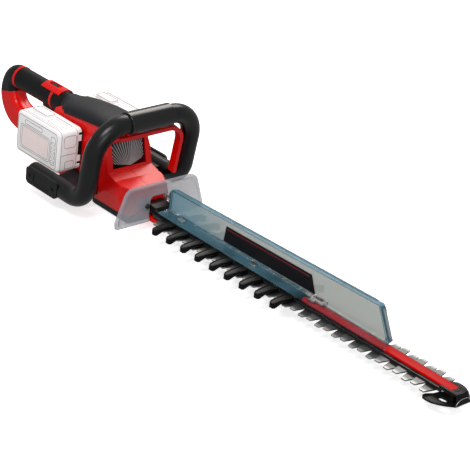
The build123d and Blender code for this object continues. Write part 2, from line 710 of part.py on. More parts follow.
# Blade carrier: a domed block in front of the nose that holds the guide bar's root
with BuildPart() as blade_carrier:
    with BuildSketch(Plane.XZ):
        Polygon((40, 33), (40, 42), (56, 43), (68, 41.5), (74, 38), (75, 33), align=None)
    extrude(amount=20, both=True)
    chamfer(blade_carrier.edges().filter_by(lambda e: e.center().Z > 35).filter_by(Axis.Y, reverse=True), 3)
    with BuildSketch(Plane.XY.offset(33)):
        with Locations((80.5, 0)):
            Rectangle(27, 60)
    extrude(amount=3.01, mode=Mode.SUBTRACT)
write(blade_carrier, "blade_carrier")

# Collector sheet: flange on the bar, wall, and a folded rim
SHEET_SIDE = [(76, 37.5), (576, 37.5), (548, 92), (88, 80), (76, 72)]
with BuildPart() as collector_sheet:
    with BuildSketch(Plane.XY.offset(SHEET_Z)):
        Polygon((SHEET_X[0], -20), (SHEET_X[1], -20), (SHEET_X[1] - 14, 4), (SHEET_X[0], 4), align=None)
        with Locations(*[(x, -8) for x in CLIP_X]):
            Circle(2.6, mode=Mode.SUBTRACT)
    extrude(amount=SHEET_T)
    with BuildSketch(Plane.XZ.offset(-4)):
        Polygon(*SHEET_SIDE, align=None)
    extrude(amount=SHEET_T)
    with BuildSketch(Plane.XZ.offset(-13)):
        Polygon(*SHEET_SIDE, align=None)
        Polygon((78, 35.5), (573, 35.5), (546.4, 89.9), (89, 77.9), (78, 71), align=None, mode=Mode.SUBTRACT)
    extrude(amount=10)
write(collector_sheet, "collector_sheet")

LABEL = [(214, 43), (217, 70), (412, 73), (424, 45)]
with BuildPart() as label_panel:
    with BuildSketch(Plane.XZ.offset(-2)):
        Polygon(*LABEL, align=None)
    extrude(amount=0.6)
write(label_panel, "label_panel")

for index, x in enumerate(CLIP_X):
    with BuildPart() as sheet_clip:
        with BuildSketch(Plane.XY.offset(SHEET_Z)):
            with Locations((x, -8)):
                Circle(2.5)
        extrude(amount=SHEET_T)
        with BuildSketch(Plane.XY.offset(SHEET_Z + SHEET_T)):
            with Locations((x, -8)):
                RectangleRounded(14, 9, 3)
        extrude(amount=3)
    write(sheet_clip, "sheet_clip_" + str(index + 1))

# Drive: motor, rotor with pinion, fan, gear, eccentric shaft and gear plate
with BuildPart() as motor_can:
    with BuildSketch(Plane.XY.offset(62)):
        with Locations((MOTOR_X, 0)):
            Circle(15.5)
            Circle(11.5, mode=Mode.SUBTRACT)
    extrude(amount=34)
    with BuildSketch(Plane.XY.offset(59)):
        with Locations((MOTOR_X, 0)):
            Rectangle(30, 2 * (BODY_HALF - WALL))
            Circle(4, mode=Mode.SUBTRACT)
    extrude(amount=3)
write(motor_can, "motor_can")

with BuildPart() as motor_rotor:
    with BuildSketch(Plane.XY.offset(GEAR_Z)):
        with Locations((MOTOR_X, 0)):
            Polygon(*gear_points(PINION_TEETH, GEAR_MODULE, 7.5), align=None)
    extrude(amount=GEAR_T)
    with BuildSketch(Plane.XY.offset(GEAR_Z + GEAR_T)):
        with Locations((MOTOR_X, 0)):
            Circle(3)
    extrude(amount=62)
    with BuildSketch(Plane.XY.offset(64)):
        with Locations((MOTOR_X, 0)):
            Circle(11)
    extrude(amount=30)
write(motor_rotor, "motor_rotor")

with BuildPart() as fan:
    with BuildSketch(Plane.XY.offset(102)):
        with Locations((MOTOR_X, 0)):
            Circle(5)
            Circle(3, mode=Mode.SUBTRACT)
            for k in range(9):
                Polygon((4, -1), (11.5, -1), (11.5, 1), (4, 1), align=None, rotation=40 * k)
    extrude(amount=8)
write(fan, "fan")

with BuildPart() as drive_gear:
    with BuildSketch(Plane.XY.offset(GEAR_Z)):
        Polygon(*gear_points(GEAR_TEETH, GEAR_MODULE, 0), align=None)
        Circle(SHAFT_R, mode=Mode.SUBTRACT)
        with PolarLocations(20, 6):
            Circle(7, mode=Mode.SUBTRACT)
    extrude(amount=GEAR_T)
write(drive_gear, "drive_gear")

with BuildPart() as eccentric_shaft:
    with BuildSketch(Plane.XY.offset(17)):
        Circle(SHAFT_R)
    extrude(amount=GEAR_Z + GEAR_T - 17)
    with BuildSketch(Plane.XY.offset(UPPER_Z + 0.1)):
        with Locations((0, STROKE)):
            Circle(CAM_R)
    extrude(amount=BLADE_T - 0.2)
    with BuildSketch(Plane.XY.offset(LOWER_Z + 0.1)):
        with Locations((0, -STROKE)):
            Circle(CAM_R)
    extrude(amount=BLADE_T - 0.2)
write(eccentric_shaft, "eccentric_shaft")

with BuildPart() as gear_plate:
    with BuildSketch(Plane.XY.offset(16)):
        with Locations((-18, 0)):
            RectangleRounded(80, 70, 6)
        Circle(SHAFT_R + 0.05, mode=Mode.SUBTRACT)
    extrude(amount=7)
write(gear_plate, "gear_plate")

with BuildPart() as control_board:
    with BuildSketch(Plane.XZ):
        with Locations((-125, 84)):
            Rectangle(70, 56)
    extrude(amount=0.8, both=True)
    with BuildSketch(Plane.XZ.offset(0.8)):
        with Locations((-140, 95), (-112, 95), (-140, 72), (-112, 72)):
            Rectangle(14, 12)
    extrude(amount=6)
    with BuildSketch(Plane.XZ):
        with Locations((-152, 84), (-98, 84)):
            Circle(3)
    extrude(amount=BODY_HALF - WALL, both=True)
write(control_board, "control_board")

# Battery rails on the housing sides and the packs that slide on them
RAIL_Z = (64.0, 116.0)
with BuildPart() as pack_rail_right:
    with BuildSketch(Plane.XZ.offset(BODY_HALF)):
        with Locations((-146, 90)):
            Rectangle(98, 62)
    extrude(amount=1.8)
    with BuildSketch(Plane.XZ.offset(BODY_HALF + 1.8)):
        with Locations((-146, RAIL_Z[0]), (-146, RAIL_Z[1])):
            Rectangle(96, 4)
    extrude(amount=6)
    with BuildSketch(Plane.XZ.offset(BODY_HALF + 1.8)):
        with Locations((-104, 90)):
            Rectangle(12, 24)
    extrude(amount=5)
write(pack_rail_right, "pack_rail_right")

with BuildPart() as pack_shell_right:
    with BuildSketch(Plane.XZ.offset(PACK_Y[0] + 9)):
        with Locations(PACK_MID):
            RectangleRounded(PACK_LONG, PACK_TALL, 9)
    extrude(amount=PACK_Y[1] - PACK_Y[0] - 9)
    fillet(pack_shell_right.faces().sort_by(Axis.Y)[0].edges(), 6)
    with BuildSketch(Plane.XZ.offset(PACK_Y[0] + 9)):
        with Locations(PACK_MID):
            RectangleRounded(PACK_LONG - 5, PACK_TALL - 5, 7)
    extrude(amount=PACK_Y[1] - PACK_Y[0] - 12, mode=Mode.SUBTRACT)
write(pack_shell_right, "pack_shell_right")

with BuildPart() as pack_lid_right:
    with BuildSketch(Plane.XZ.offset(PACK_Y[0] + 0.2)):
        with Locations(PACK_MID):
            RectangleRounded(PACK_LONG, PACK_TALL, 9)
    extrude(amount=8.8)
    with BuildSketch(Plane.XZ.offset(PACK_Y[0] - 1)):
        with Locations((-140, RAIL_Z[0]), (-140, RAIL_Z[1])):
            Rectangle(110, 5)
        with Locations((-98, 90)):
            Rectangle(26, 26)
    extrude(amount=7.5, mode=Mode.SUBTRACT)
    with BuildSketch(Plane.XZ.offset(PACK_Y[0] - 1)):
        with Locations((-205, 91)):
            Rectangle(20, 20.6)
    extrude(amount=8, mode=Mode.SUBTRACT)
write(pack_lid_right, "pack_lid_right")

with BuildPart() as pack_latch_right:
    with BuildSketch(Plane.XZ.offset(PACK_Y[0] + 1)):
        with Locations((-207, 91)):
            Rectangle(14, 20)
    extrude(amount=5.8)
write(pack_latch_right, "pack_latch_right")

with BuildPart() as pack_cells_right:
    with BuildSketch(Plane.XZ.offset(PACK_Y[0] + 9)):
        with Locations(PACK_MID):
            RectangleRounded(PACK_LONG - 10, PACK_TALL - 10, 8)
    extrude(amount=PACK_Y[1] - PACK_Y[0] - 17)
write(pack_cells_right, "pack_cells_right")

for source, node in ((pack_rail_right, "pack_rail_left"), (pack_shell_right, "pack_shell_left"),
                     (pack_lid_right, "pack_lid_left"), (pack_latch_right, "pack_latch_left"),
                     (pack_cells_right, "pack_cells_left")):
    with BuildPart() as mirrored:
        add(source.part)
        mirror(about=Plane.XZ, mode=Mode.REPLACE)
    write(mirrored, node)
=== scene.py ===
"""Cordless hedge trimmer: finishes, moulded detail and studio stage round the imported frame."""

import json
import math

import bmesh
import bpy
from bpy.props import FloatProperty, FloatVectorProperty, IntProperty, PointerProperty
from mathutils import Matrix, Vector


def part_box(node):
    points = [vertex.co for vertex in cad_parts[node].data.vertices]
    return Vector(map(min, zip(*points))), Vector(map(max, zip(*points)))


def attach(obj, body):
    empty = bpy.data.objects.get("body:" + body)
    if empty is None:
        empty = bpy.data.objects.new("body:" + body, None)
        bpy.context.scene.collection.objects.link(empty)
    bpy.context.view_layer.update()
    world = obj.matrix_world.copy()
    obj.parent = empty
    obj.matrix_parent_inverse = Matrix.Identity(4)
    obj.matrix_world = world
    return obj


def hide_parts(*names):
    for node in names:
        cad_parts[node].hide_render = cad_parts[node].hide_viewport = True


bl_info = {
    "name": "Hedge Trimmer Dresser",
    "version": (1, 0, 0),
    "blender": (4, 5, 0),
    "location": "View3D > Sidebar > Trimmer",
    "description": "Builds the finishes and moulded detail of a cordless hedge trimmer",
    "category": "Object",
}

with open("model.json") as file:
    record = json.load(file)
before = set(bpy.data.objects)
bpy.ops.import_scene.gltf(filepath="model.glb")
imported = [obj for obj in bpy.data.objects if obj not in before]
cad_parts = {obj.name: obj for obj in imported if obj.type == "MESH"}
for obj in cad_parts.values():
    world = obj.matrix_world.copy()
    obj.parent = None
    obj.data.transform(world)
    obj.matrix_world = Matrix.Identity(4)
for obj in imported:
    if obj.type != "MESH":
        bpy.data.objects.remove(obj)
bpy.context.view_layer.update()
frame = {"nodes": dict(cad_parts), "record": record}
NODES = frame["nodes"]
MM = 0.001


# Sizes and colours that a user would change


class TrimmerColours(bpy.types.PropertyGroup):
    """Colours of the plastics, the steel and the clear sheets."""

    red: FloatVectorProperty(name="Red plastic", description="Moulded red shell", subtype="COLOR",
                             default=(0.74, 0.0035, 0.0025), min=0, max=1)
    black: FloatVectorProperty(name="Black plastic", description="Loop handle, base and comb",
                               subtype="COLOR", default=(0.0050, 0.0055, 0.0060), min=0, max=1)
    charcoal: FloatVectorProperty(name="Charcoal plastic", description="Spine cover", subtype="COLOR",
                                  default=(0.010, 0.011, 0.014), min=0, max=1)
    guard: FloatVectorProperty(name="Guard grey", description="Translucent hand guard", subtype="COLOR",
                               default=(0.38, 0.39, 0.43), min=0, max=1)
    teal: FloatVectorProperty(name="Sheet teal", description="Thick edges of the collector sheet",
                              subtype="COLOR", default=(0.060, 0.145, 0.190), min=0, max=1)
    haze: FloatVectorProperty(name="Sheet haze", description="Thin middle of the collector sheet",
                              subtype="COLOR", default=(0.40, 0.43, 0.40), min=0, max=1)
    steel: FloatVectorProperty(name="Ground steel", description="Cutting teeth", subtype="COLOR",
                               default=(0.145, 0.150, 0.152), min=0, max=1)
    pack: FloatVectorProperty(name="Pack white", description="Battery packs", subtype="COLOR",
                              default=(0.84, 0.835, 0.835), min=0, max=1)


class TrimmerSizes(bpy.types.PropertyGroup):
    """Sizes of the moulded detail."""

    finger_first: FloatProperty(name="First finger",
                                description="Place of the first comb finger along the blade",
                                default=0.117, unit="LENGTH")
    finger_pitch: FloatProperty(name="Finger pitch", description="Distance between comb fingers",
                                default=0.03485, unit="LENGTH")
    finger_count: IntProperty(name="Fingers", description="Comb fingers on each side",
                              default=9, min=1, max=12)
    finger_reach: FloatProperty(name="Finger reach",
                                description="Length of a comb finger from the blade's middle",
                                default=0.0545, unit="LENGTH")
    blade_middle: FloatProperty(name="Blade middle", description="Middle line of the blade across the tool",
                                default=-0.007, unit="LENGTH")
    rib_count: IntProperty(name="Grille ribs", description="Ribs fanned over the air grille",
                           default=26, min=4, max=60)
    lens: FloatProperty(name="Lens", description="Focal length of the studio camera in millimetres",
                        default=1941.73 / 470.0 * 36.0, min=10, max=400)


# Shader maths


class Wire:
    """A shader socket that takes part in Python arithmetic."""

    def __init__(self, shop, socket):
        self.shop = shop
        self.socket = socket

    def math(self, operation, other, swap=False):
        pair = (other, self) if swap else (self, other)
        made = self.shop.node("ShaderNodeMath", {"operation": operation}, {0: pair[0], 1: pair[1]})
        return Wire(self.shop, made.outputs[0])

    def __add__(self, other):
        return self.math("ADD", other)

    def __radd__(self, other):
        return self.math("ADD", other, True)

    def __sub__(self, other):
        return self.math("SUBTRACT", other)

    def __rsub__(self, other):
        return self.math("SUBTRACT", other, True)

    def __mul__(self, other):
        return self.math("MULTIPLY", other)

    def __rmul__(self, other):
        return self.math("MULTIPLY", other, True)

    def __abs__(self):
        return self.math("ABSOLUTE", 0.0)

    def most(self, other):
        return self.math("MAXIMUM", other)

    def least(self, other):
        return self.math("MINIMUM", other)

    def ease(self, low, high):
        """Smooth step of the value from 0 at low to 1 at high."""
        made = self.shop.node("ShaderNodeMapRange", {"interpolation_type": "SMOOTHSTEP"},
                              {"Value": self, "From Min": low, "From Max": high})
        return Wire(self.shop, made.outputs[0])


class Finish:
    """One procedural material under construction."""

    def __init__(self, name):
        self.material = bpy.data.materials.new(name)
        self.material.use_nodes = True
        self.tree = self.material.node_tree
        self.tree.nodes.clear()
        self.output = self.tree.nodes.new("ShaderNodeOutputMaterial")
        self.shader = self.tree.nodes.new("ShaderNodeBsdfPrincipled")
        self.tree.links.new(self.shader.outputs[0], self.output.inputs[0])
        self.place = Wire(self, self.node("ShaderNodeTexCoord", {}, {}).outputs["Object"])

    def node(self, kind, settings, sockets):
        """Any other node: its type, its settings, and the values or links of its sockets."""
        made = self.tree.nodes.new(kind)
        for key, value in settings.items():
            setattr(made, key, value)
        self.feed(made, sockets)
        return made

    def feed(self, made, sockets):
        for key, value in sockets.items():
            socket = made.inputs[key]
            if isinstance(value, Wire):
                self.tree.links.new(value.socket, socket)
            elif socket.type == "RGBA" and len(value) == 3:
                socket.default_value = (*value, 1)
            else:
                socket.default_value = value

    def set(self, **sockets):
        """Feed the main shader; underscores stand for spaces."""
        self.feed(self.shader, {key.replace("_", " "): value for key, value in sockets.items()})

    def stretch(self, scale):
        made = self.node("ShaderNodeMapping", {}, {"Vector": self.place, "Scale": scale})
        return Wire(self, made.outputs[0])

    def noise(self, scale, detail=3.0, rough=0.55, place=None):
        made = self.node("ShaderNodeTexNoise", {}, {"Vector": place or self.place, "Scale": scale,
                                                    "Detail": detail, "Roughness": rough})
        return Wire(self, made.outputs[0])

    def axis(self, name):
        made = self.node("ShaderNodeSeparateXYZ", {}, {0: self.place})
        return Wire(self, made.outputs[name])

    def tint(self, factor, low, high):
        """Colour between two colours by a factor."""
        made = self.node("ShaderNodeMix", {"data_type": "RGBA"}, {0: factor, 6: low, 7: high})
        return Wire(self, made.outputs[2])

    def soften(self, radius):
        """Normal that runs round the edges."""
        return Wire(self, self.node("ShaderNodeBevel", {"samples": 6}, {"Radius": radius}).outputs[0])

    def edges(self, radius):
        """Softened normal and a mask that rises on convex and concave edges."""
        soft = self.soften(radius)
        plain = Wire(self, self.node("ShaderNodeNewGeometry", {}, {}).outputs["Normal"])
        made = self.node("ShaderNodeVectorMath", {"operation": "DOT_PRODUCT"}, {0: soft, 1: plain})
        return soft, 1.0 - Wire(self, made.outputs["Value"])

    def bump(self, height, strength, distance, normal=None):
        sockets = {"Height": height, "Strength": strength, "Distance": distance}
        if normal is not None:
            sockets["Normal"] = normal
        self.set(Normal=Wire(self, self.node("ShaderNodeBump", {}, sockets).outputs[0]))


def scaled(colour, factor):
    return tuple(min(1.0, c * factor) for c in colour)


def moulded(name, colour, rough, grain, wear_and_highlight_lift, radius=0.0012, coat=0.0, wear_and_highlight_share=0.35, shine=0.3):
    """Injection-moulded plastic: fine spark grain, faint flow marks, and edges lightened in patches, part wear
    and part painted edge highlight.
    """
    f = Finish(name)
    soft, rim = f.edges(radius)
    fine = f.noise(1400.0, 2.0)
    flow = f.noise(9.0, 4.0)
    # painted edge highlight mixed with wear: edges lighten in noisy patches
    wear_and_edge_highlight = rim.ease(0.02, 0.22) * f.noise(70.0, 3.0).ease(0.35, 0.7)
    body = f.tint(flow.ease(0.25, 0.75), scaled(colour, 0.86), scaled(colour, 1.12))
    f.set(Base_Color=f.tint(wear_and_edge_highlight * wear_and_highlight_share, body, tuple(min(1.0, c + wear_and_highlight_lift) for c in colour)))
    f.set(Roughness=rough + (fine - 0.5) * 0.10 + (flow - 0.5) * 0.12, IOR=1.5)
    f.shader.inputs["Specular IOR Level"].default_value = shine
    f.shader.inputs["Coat Weight"].default_value = coat
    f.shader.inputs["Coat Roughness"].default_value = 0.16
    f.bump(fine, 0.22, grain, soft)
    return f.material


def soft_rubber(name, colour):
    """Over-moulded grip: pebbled touch grain with a dry sheen."""
    f = Finish(name)
    soft = f.soften(0.001)
    pebble = Wire(f, f.node("ShaderNodeTexVoronoi", {"feature": "SMOOTH_F1"},
                            {"Vector": f.place, "Scale": 900.0, "Smoothness": 0.6}).outputs[0])
    cloud = f.noise(14.0, 4.0)
    f.set(Base_Color=f.tint(cloud.ease(0.3, 0.7), scaled(colour, 0.8), scaled(colour, 1.3)))
    f.set(Roughness=0.46 + (cloud - 0.5) * 0.2, IOR=1.5)
    f.shader.inputs["Specular IOR Level"].default_value = 0.18
    f.bump(pebble, 0.35, 0.00012, soft)
    return f.material


def ground_steel(name, colour, rough=0.42, along=(30.0, 900.0, 900.0), middle=None):
    """Ground tool steel with fine lines and darker hollows, and a painted highlight that lightens its edges;
    far from a middle line its tips are bright.
    """
    f = Finish(name)
    soft, rim = f.edges(0.0004)
    lines = f.noise(1.0, 3.0, 0.6, f.stretch(along))
    stain = f.noise(26.0, 4.0)
    # painted highlight: edges lighten towards a brighter steel colour
    bright = rim.ease(0.05, 0.3)
    body = f.tint(stain.ease(0.3, 0.75), scaled(colour, 0.72), scaled(colour, 1.1))
    if middle is not None:
        tips = abs(f.axis("Y") - middle).ease(0.0255, 0.0325)
        body = f.tint(tips * 0.85, body, scaled(colour, 2.9))
    f.set(Base_Color=f.tint(bright, body, scaled(colour, 1.5)))
    f.set(Metallic=0.95, Roughness=rough + (lines - 0.5) * 0.25 + (stain - 0.5) * 0.12)
    f.bump(lines, 0.18, 0.00005, soft)
    return f.material


def coated_bar(name, colour, rough, lift, shine=0.25):
    """Coated alloy bar: satin coat with edges lightened in patches, part rubbed wear and part painted edge
    highlight.
    """
    f = Finish(name)
    soft, rim = f.edges(0.0007)
    lines = f.noise(1.0, 3.0, 0.6, f.stretch((40.0, 700.0, 700.0)))
    # rubbed wear mixed with painted edge highlight: edges lighten in noisy patches
    rub_and_edge_highlight = rim.ease(0.04, 0.25) * f.noise(60.0).ease(0.4, 0.65)
    f.set(Base_Color=f.tint(rub_and_edge_highlight * 0.6, colour, tuple(min(1.0, c + lift) for c in colour)))
    f.set(Roughness=rough + (lines - 0.5) * 0.15, Metallic=0.0, IOR=1.5)
    f.shader.inputs["Specular IOR Level"].default_value = shine
    f.bump(lines, 0.1, 0.00005, soft)
    return f.material


def clear_guard(name, colour):
    """Milky translucent guard, denser along its rim."""
    f = Finish(name)
    soft, rim = f.edges(0.0016)
    cloud = f.noise(18.0, 3.0)
    streak = f.noise(1.0, 2.0, 0.5, f.stretch((8.0, 24.0, 6.0)))
    body = f.tint(cloud.ease(0.3, 0.7), scaled(colour, 0.92), scaled(colour, 1.12))
    f.set(Base_Color=f.tint(rim.ease(0.03, 0.3) * 0.6, body, scaled(colour, 0.55)))
    f.set(Roughness=0.22 + (streak - 0.5) * 0.12, IOR=1.49)
    f.set(Alpha=0.58 + rim.ease(0.03, 0.3) * 0.15 + (cloud - 0.5) * 0.06)
    f.bump(streak, 0.05, 0.0006, soft)
    return f.material


def clear_sheet(name, teal, haze):
    """Clear collector sheet: two teal lines round its rim, a pale band between them and a hazy middle."""
    f = Finish(name)
    x, y, z = f.axis("X"), f.axis("Y"), f.axis("Z")
    cloud = f.noise(11.0, 3.0)
    crown = 0.0800 + (x - 0.090) * 0.0252
    front = (0.5829 - (z - 0.0375) * 0.514 - x) * 0.89
    depth = (crown - z).least(front).least(x - 0.0765)
    bar_half = x.ease(0.395, 0.415)
    wall = z.ease(0.0400, 0.0425).most(y.ease(-0.0012, 0.0) * bar_half)
    outer_line = 1.0 - depth.ease(0.0008, 0.0020)
    inner_line = depth.ease(0.0042, 0.0050) * (1.0 - depth.ease(0.0062, 0.0072))
    inside = depth.ease(0.0062, 0.0074) * wall
    fade = (0.225 - x).ease(-0.02, 0.13)
    middle = f.tint(fade * 0.75 + (cloud - 0.5) * 0.3, haze, scaled(teal, 2.3))
    band = f.tint(cloud.ease(0.3, 0.7), scaled(teal, 1.7), scaled(teal, 2.6))
    rimmed = f.tint((outer_line + inner_line).least(1.0), band, scaled(teal, 0.72))
    flange = f.tint(cloud.ease(0.35, 0.65), scaled(teal, 0.75), scaled(teal, 1.5))
    f.set(Base_Color=f.tint(wall, flange, f.tint(inside, rimmed, middle)))
    f.set(Roughness=0.12 + (cloud - 0.5) * 0.10, IOR=1.49)
    over_strip = bar_half * (1.0 - wall)
    f.set(Alpha=0.46 + wall * 0.24 - over_strip * 0.34 + inside * 0.10)
    f.bump(cloud, 0.05, 0.001)
    return f.material


def label_film(name):
    """Gloss black film with one fine red line near its top edge."""
    f = Finish(name)
    x, z = f.axis("X"), f.axis("Z")
    line = abs(z - (0.0655 + (x - 0.217) * 0.0154)) * -1.0 + 0.0009
    mask = line.ease(0.0, 0.0004) * (x - 0.219).ease(0.0, 0.001) * (0.4085 - x).ease(0.0, 0.001)
    cloud = f.noise(40.0, 3.0)
    f.set(Base_Color=f.tint(mask, (0.006, 0.005, 0.007), (0.22, 0.012, 0.022)))
    f.set(Roughness=0.40 + (cloud - 0.5) * 0.08, IOR=1.5)
    f.shader.inputs["Specular IOR Level"].default_value = 0.25
    f.bump(cloud, 0.02, 0.0002)
    return f.material


def pack_white(name, colour):
    """White pack plastic whose edges carry a thin grey shade; a faint emission paints a glow on it though it is
    no lamp.
    """
    f = Finish(name)
    soft, rim = f.edges(0.0011)
    cloud = f.noise(20.0, 3.0)
    line = rim.ease(0.02, 0.16)
    body = f.tint(cloud.ease(0.3, 0.7), scaled(colour, 0.99), scaled(colour, 1.02))
    f.set(Base_Color=f.tint(line * 0.25, body, (0.66, 0.60, 0.60)))
    f.set(Roughness=0.42 + (cloud - 0.5) * 0.1, IOR=1.45)
    # painted glow: a faint emission keeps the white packs bright though they are no lamp
    f.shader.inputs["Emission Color"].default_value = (1, 1, 1, 1)
    f.shader.inputs["Emission Strength"].default_value = 0.10
    f.bump(f.noise(1200.0, 2.0), 0.08, 0.00004, soft)
    return f.material


def pack_tint(name, low, high):
    """Faintly tinted white of the ribs and panel lines on the packs."""
    f = Finish(name)
    cloud = f.noise(30.0, 3.0)
    f.set(Base_Color=f.tint(cloud.ease(0.3, 0.7), low, high))
    f.set(Roughness=0.45 + (cloud - 0.5) * 0.1)
    f.bump(cloud, 0.05, 0.0003)
    return f.material


def circuit_board(name):
    """Green board with a lighter trace pattern."""
    f = Finish(name)
    trace = Wire(f, f.node("ShaderNodeTexBrick", {}, {"Vector": f.place, "Scale": 160.0,
                                                     "Mortar Size": 0.05}).outputs[1])
    f.set(Base_Color=f.tint(trace, (0.01, 0.10, 0.03), (0.05, 0.22, 0.07)))
    f.set(Roughness=0.4 + trace * 0.15)
    f.bump(trace, 0.1, 0.0001)
    return f.material


def make_finishes():
    """Every finish by the name of its material slot or its piece."""
    c = bpy.context.scene.trimmer_colours
    blade_middle = bpy.context.scene.trimmer_sizes.blade_middle
    red, black = tuple(c.red), tuple(c.black)
    return {
        "red_plastic": moulded("red_plastic", red, 0.25, 0.00005, 0.05, 0.0018, shine=0.30),
        "black_plastic": moulded("black_plastic", black, 0.40, 0.00009, 0.05, shine=0.26),
        "loop_black": moulded("loop_black", black, 0.30, 0.00007, 0.04, 0.001, shine=0.34),
        "loop_grip": moulded("loop_grip", black, 0.20, 0.00005, 0.04, 0.001, shine=0.45),
        # the comb's lighter finger ridges are a strong painted edge highlight
        "comb_black": moulded("comb_black", scaled(black, 0.8), 0.28, 0.00006, 0.24, 0.0006, wear_and_highlight_share=0.9,
                              shine=0.10),
        "soft_black": soft_rubber("soft_black", scaled(black, 0.95)),
        "charcoal_plastic": moulded("charcoal_plastic", tuple(c.charcoal), 0.48, 0.0001, 0.05, 0.002,
                                    shine=0.22),
        "grey_plastic": moulded("grey_plastic", (0.016, 0.017, 0.018), 0.42, 0.00006, 0.05, 0.0005),
        "grille_rib": moulded("grille_rib", (0.42, 0.42, 0.43), 0.36, 0.00004, 0.10, 0.0004),
        "clear_grey": clear_guard("clear_grey", tuple(c.guard)),
        "clear_teal": clear_sheet("clear_teal", tuple(c.teal), tuple(c.haze)),
        "black_film": label_film("black_film"),
        "steel": ground_steel("steel", tuple(c.steel), middle=blade_middle),
        "black_bar": coated_bar("black_bar", (0.012, 0.012, 0.013), 0.34, 0.25),
        "red_bar": coated_bar("red_bar", scaled(red, 0.66), 0.40, 0.10, 0.06),
        "black_steel": coated_bar("black_steel", (0.0045, 0.0045, 0.005), 0.38, 0.10, 0.12),
        "clip_metal": ground_steel("clip_metal", (0.80, 0.80, 0.80), 0.30),
        "cast_plate": ground_steel("cast_plate", (0.45, 0.45, 0.46), 0.5, (300.0, 300.0, 300.0)),
        "board": circuit_board("board"),
        "white_plastic": pack_white("white_plastic", tuple(c.pack)),
        "pack_blush": pack_tint("pack_blush", (0.86, 0.64, 0.62), (0.90, 0.70, 0.68)),
        "pack_line": pack_tint("pack_line", (0.26, 0.19, 0.19), (0.33, 0.25, 0.25)),
        "cells": coated_bar("cells", (0.10, 0.11, 0.16), 0.35, 0.1),
    }


FINISHES = {}

# Nodes whose finish isn't the one of their material slot
OWN_FINISH = {"handle_front_shell": "loop_black", "handle_rear_shell": "loop_black",
              "front_grip": "loop_grip", "blade_carrier": "comb_black"}

# Edge rounding in millimetres on the frame's own shells
ROUNDED = {"housing_left": 1.6, "housing_right": 1.6, "base_cover": 1.0, "switch_bar": 1.5,
           "end_plate_left": 0.8, "end_plate_right": 0.8, "handle_arm_left": 1.5, "handle_arm_right": 1.5,
           "hand_guard": 0.6, "trigger": 0.6, "upper_blade": 0.8, "lower_blade": 0.8, "blade_carrier": 3.0}


# Modelling helpers


def piece(name, bm, finish, body, stands_for=(), sharp=38.0):
    """Close a bmesh into a finished piece that rides on a body."""
    bmesh.ops.remove_doubles(bm, verts=bm.verts, dist=1e-6)
    bmesh.ops.recalc_face_normals(bm, faces=bm.faces)
    for face in bm.faces:
        face.smooth = True
    mesh = bpy.data.meshes.new(name)
    bm.to_mesh(mesh)
    bm.free()
    mesh.set_sharp_from_angle(angle=math.radians(sharp))
    made = bpy.data.objects.new(name, mesh)
    bpy.context.scene.collection.objects.link(made)
    made.data.materials.append(FINISHES[finish])
    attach(made, body)
    if stands_for:
        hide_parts(*stands_for)
    return made


def block(bm, low, high):
    """A box between two corners in millimetres; gives its vertices back."""
    size = [(b - a) * MM for a, b in zip(low, high)]
    mid = [(a + b) / 2 * MM for a, b in zip(low, high)]
    matrix = Matrix.Translation(mid) @ Matrix.Diagonal((*size, 1.0))
    return bmesh.ops.create_cube(bm, size=1.0, matrix=matrix)["verts"]


def prism(bm, outline, along):
    """Extrude a flat outline (points in millimetres) by a vector in millimetres."""
    face = bm.faces.new([bm.verts.new([v * MM for v in p]) for p in outline])
    made = bmesh.ops.extrude_face_region(bm, geom=[face])["geom"]
    tops = [g for g in made if isinstance(g, bmesh.types.BMVert)]
    bmesh.ops.translate(bm, verts=tops, vec=[v * MM for v in along])
    return list(face.verts) + tops


def rod(bm, start, end, radius, top=None, segments=20):
    """A capped rod or cone between two points in millimetres."""
    a, b = Vector(start) * MM, Vector(end) * MM
    turn = (b - a).to_track_quat("Z", "Y").to_matrix().to_4x4()
    return bmesh.ops.create_cone(bm, cap_ends=True, segments=segments, radius1=radius * MM,
                                 radius2=(radius if top is None else top) * MM, depth=(b - a).length,
                                 matrix=Matrix.Translation((a + b) / 2) @ turn)["verts"]


def join(bm, part):
    """Add a finished bmesh to another and free it."""
    mesh = bpy.data.meshes.new("part")
    part.to_mesh(mesh)
    part.free()
    bm.from_mesh(mesh)
    bpy.data.meshes.remove(mesh)


def rounded(low_a, high_a, low_b, high_b, radius, steps=4):
    """Points round a rectangle with rounded corners, in two coordinates."""
    points = []
    for a, b, start in ((high_a, high_b, 0), (low_a, high_b, 90), (low_a, low_b, 180), (high_a, low_b, 270)):
        mid_a = a - radius if a == high_a else a + radius
        mid_b = b - radius if b == high_b else b + radius
        for k in range(steps + 1):
            turn = math.radians(start + 90.0 * k / steps)
            points.append((mid_a + radius * math.cos(turn), mid_b + radius * math.sin(turn)))
    return points


def arch(half, rise, full, steps):
    """Points across and up of an arch from one foot to the other; full below 1 squares its shoulders."""
    turns = [math.pi * k / steps for k in range(steps + 1)]
    return [(half * math.copysign(abs(math.cos(t)) ** full, math.cos(t)), rise * max(math.sin(t), 0.0) ** full)
            for t in turns]


def on_plane(axis, at, points):
    """Points in two coordinates set on the plane where the axis (0, 1 or 2) has one value."""
    return [(*p[:axis], at, *p[axis:]) for p in points]


def loft(bm, rows, closed=True):
    """Extrude a line or ring of points through rows of points in millimetres; gives its two end edges."""
    order = bm.verts.layers.int.get("order") or bm.verts.layers.int.new("order")
    ring = [bm.verts.new([c * MM for c in point]) for point in rows[0]]
    for k, v in enumerate(ring):
        v[order] = k
    first = [bm.edges.new(pair) for pair in zip(ring, ring[1:] + ring[:1] if closed else ring[1:])]
    last = first
    for row in rows[1:]:
        made = bmesh.ops.extrude_edge_only(bm, edges=last)["geom"]
        ring = [g for g in made if isinstance(g, bmesh.types.BMVert)]
        last = [g for g in made if isinstance(g, bmesh.types.BMEdge) and all(v in ring for v in g.verts)]
        for v in ring:
            v.co = [c * MM for c in row[v[order]]]
    return first, last


